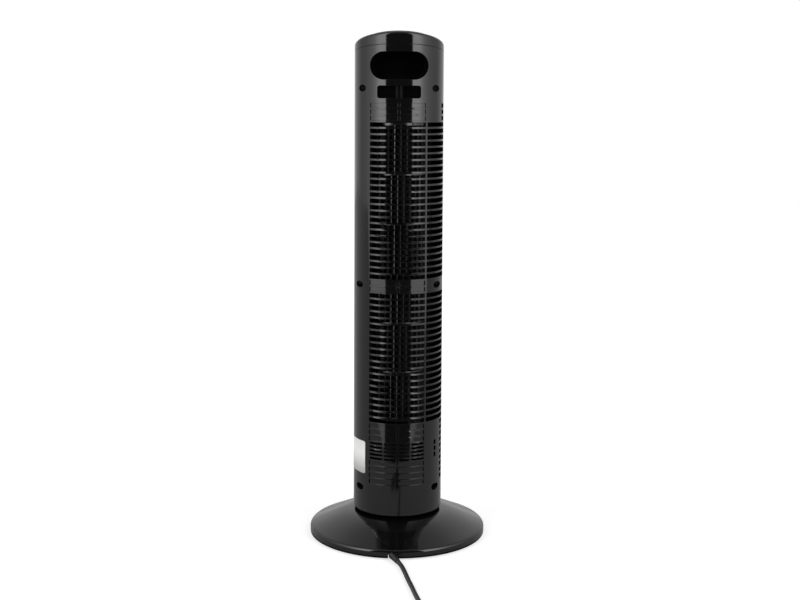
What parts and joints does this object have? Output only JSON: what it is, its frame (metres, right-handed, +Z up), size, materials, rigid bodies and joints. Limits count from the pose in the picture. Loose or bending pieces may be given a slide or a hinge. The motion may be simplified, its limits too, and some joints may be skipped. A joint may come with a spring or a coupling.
{
  "type": "tower fan",
  "caption": "Black tower fan: a slotted column with a cross-flow wheel that swings on a round domed foot, with a rear grip recess and top push buttons.",
  "frame": {"origin": "on the floor under the column's axis, at the middle of the round foot", "axes": "+Z up; the air outlet faces -Y and the intake slots and grip face +Y; +X is to the left when the back is looked at"},
  "size_m": [0.266, 0.5638, 0.7622],
  "materials": {
    "gloss_black": "high gloss moulded",
    "button_black": "satin gloss",
    "liner_black": "fine matt grain",
    "inner_plastic": "plain moulded",
    "wheel_plastic": "glossy moulded blades",
    "lens_clear": "clear light pipe",
    "circuit_board": "solder mask",
    "capacitor_case": "moulded box",
    "steel": "turned and pressed",
    "screw_steel": "zinc plated",
    "sintered_bronze": "oil-filled bush",
    "slick_plastic": "low-friction plastic",
    "swing_motor_tin": "drawn can",
    "foot_rubber": "matt",
    "cord_jacket": "satin jacket",
    "pin_brass": "nickelled"
  },
  "bodies": {
    "base": {"base_rear_half": "gloss_black", "base_front_half": "gloss_black", "base_plate": "liner_black", "foot_pads": "foot_rubber", "swivel_plate": "liner_black", "swivel_screws": "screw_steel", "glide_ring": "slick_plastic", "pivot_retainer": "steel", "cord_gland": "cord_jacket", "cord_run": "cord_jacket", "cord_coil": "cord_jacket", "coil_tie": "cord_jacket", "cord_tail": "cord_jacket", "plug_body": "cord_jacket", "plug_pins": "pin_brass"},
    "tower": {"rear_shell": "gloss_black", "front_shell": "gloss_black", "front_grille": "gloss_black", "top_cap": "gloss_black", "control_panel": "gloss_black", "grip_cup": "liner_black", "remote_pocket": "liner_black", "tower_floor": "liner_black", "board_stand": "liner_black", "board_posts": "liner_black", "upper_bulkhead": "inner_plastic", "lower_bulkhead": "inner_plastic", "air_duct": "inner_plastic", "duct_tongue": "inner_plastic", "indicator_lenses": "lens_clear", "button_board": "circuit_board", "power_board": "circuit_board", "run_capacitor": "capacitor_case", "motor_case": "steel", "motor_screws": "screw_steel", "side_screws": "screw_steel", "centre_screw": "screw_steel", "bearing_bush": "sintered_bronze", "swing_motor": "swing_motor_tin"},
    "wheel": {"wheel_segments": "wheel_plastic", "wheel_lower_end": "wheel_plastic", "wheel_upper_end": "wheel_plastic", "motor_shaft": "steel", "top_shaft": "steel"},
    "crank": {"swing_crank": "slick_plastic"},
    "button_1": {"button_1": "button_black"},
    "button_2": {"button_2": "button_black"},
    "button_3": {"button_3": "button_black"},
    "button_4": {"button_4": "button_black"}
  },
  "joints": [
    {"name": "tower_swing", "type": "hinge", "parent": "base", "child": "tower", "pos_m": [0, 0, 0.057], "axis": [0, 0, 1], "range_deg": [-35, 35]},
    {"name": "wheel_spin", "type": "hinge", "parent": "tower", "child": "wheel", "pos_m": [0, 0, 0.4], "axis": [0, 0, 1], "continuous": true},
    {"name": "crank_turn", "type": "hinge", "parent": "tower", "child": "crank", "pos_m": [0.031, 0, 0.055], "axis": [0, 0, 1], "continuous": true},
    {"name": "button_1_press", "type": "slide", "parent": "tower", "child": "button_1", "axis": [0, 0.2419, -0.9703], "range_m": [0, 0.0012], "stiffness_N_per_m": 300, "springref_m": -0.001},
    {"name": "button_2_press", "type": "slide", "parent": "tower", "child": "button_2", "axis": [0, 0.2419, -0.9703], "range_m": [0, 0.0012], "stiffness_N_per_m": 300, "springref_m": -0.001},
    {"name": "button_3_press", "type": "slide", "parent": "tower", "child": "button_3", "axis": [0, 0.2419, -0.9703], "range_m": [0, 0.0012], "stiffness_N_per_m": 300, "springref_m": -0.001},
    {"name": "button_4_press", "type": "slide", "parent": "tower", "child": "button_4", "axis": [0, 0.2419, -0.9703], "range_m": [0, 0.0012], "stiffness_N_per_m": 300, "springref_m": -0.001}
  ]
}
